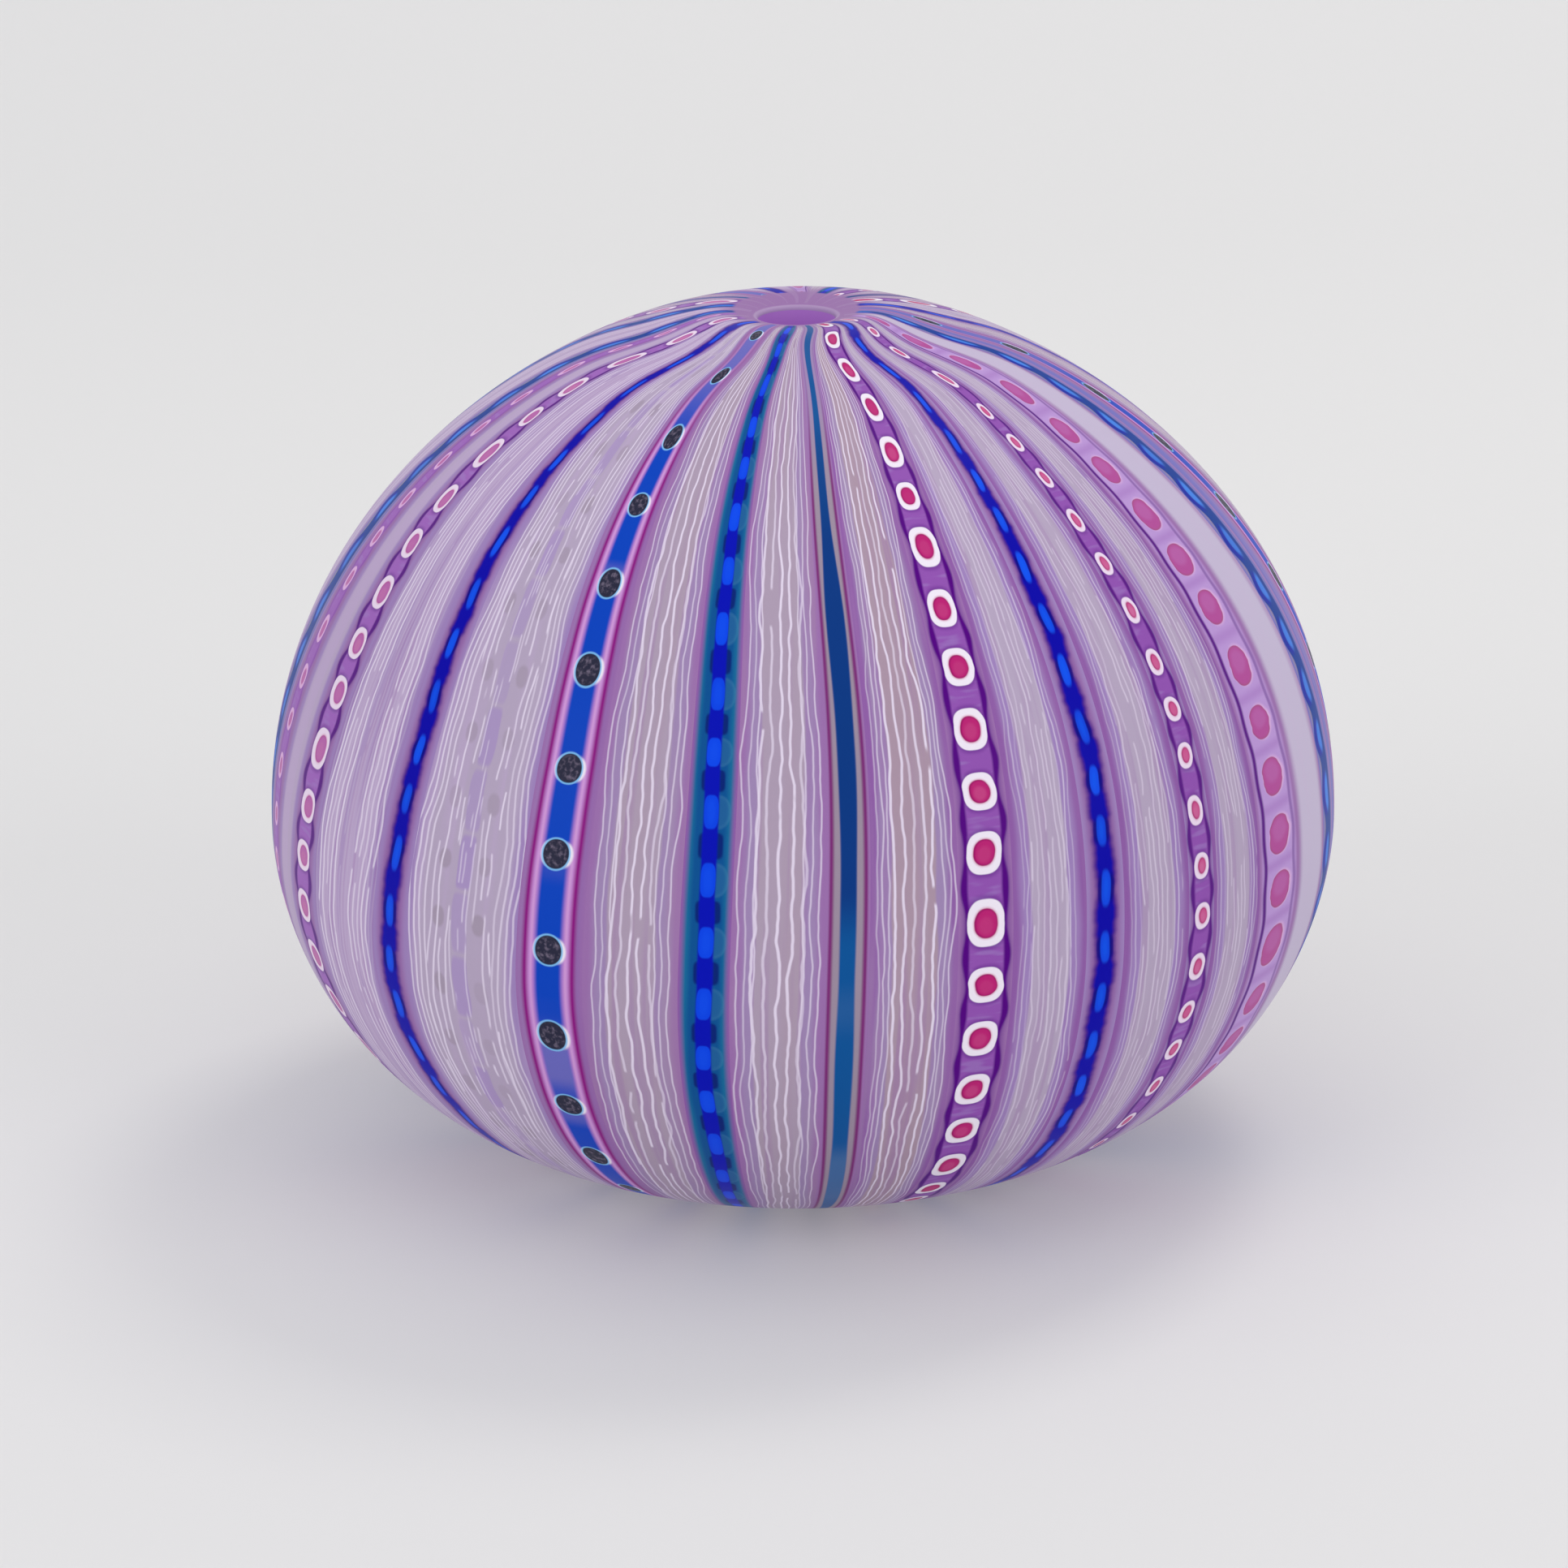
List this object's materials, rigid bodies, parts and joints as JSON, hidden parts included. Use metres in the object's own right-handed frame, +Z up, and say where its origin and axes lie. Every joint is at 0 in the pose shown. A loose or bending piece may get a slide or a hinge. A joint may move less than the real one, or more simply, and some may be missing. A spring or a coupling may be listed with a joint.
{
  "type": "sea urchin shaped glass vessel",
  "caption": "Squat round blown glass vessel shaped like a sea urchin shell, with a narrow mouth, a flat resting spot and stripes of coloured cane running from mouth to foot",
  "frame": {"origin": "middle of the flat resting spot, which is the bottom centre of the bounding box", "axes": "+Z up along the vessel's axis of revolution, through the mouth; +Y away from the side shown in front"},
  "size_m": [0.12, 0.12, 0.0961],
  "materials": {
    "satin_cane_glass": "satin-etched opaque lilac glass with fused canes in blue, purple, pink and white"
  },
  "bodies": {
    "root": {"vessel": "satin_cane_glass"}
  },
  "joints": []
}
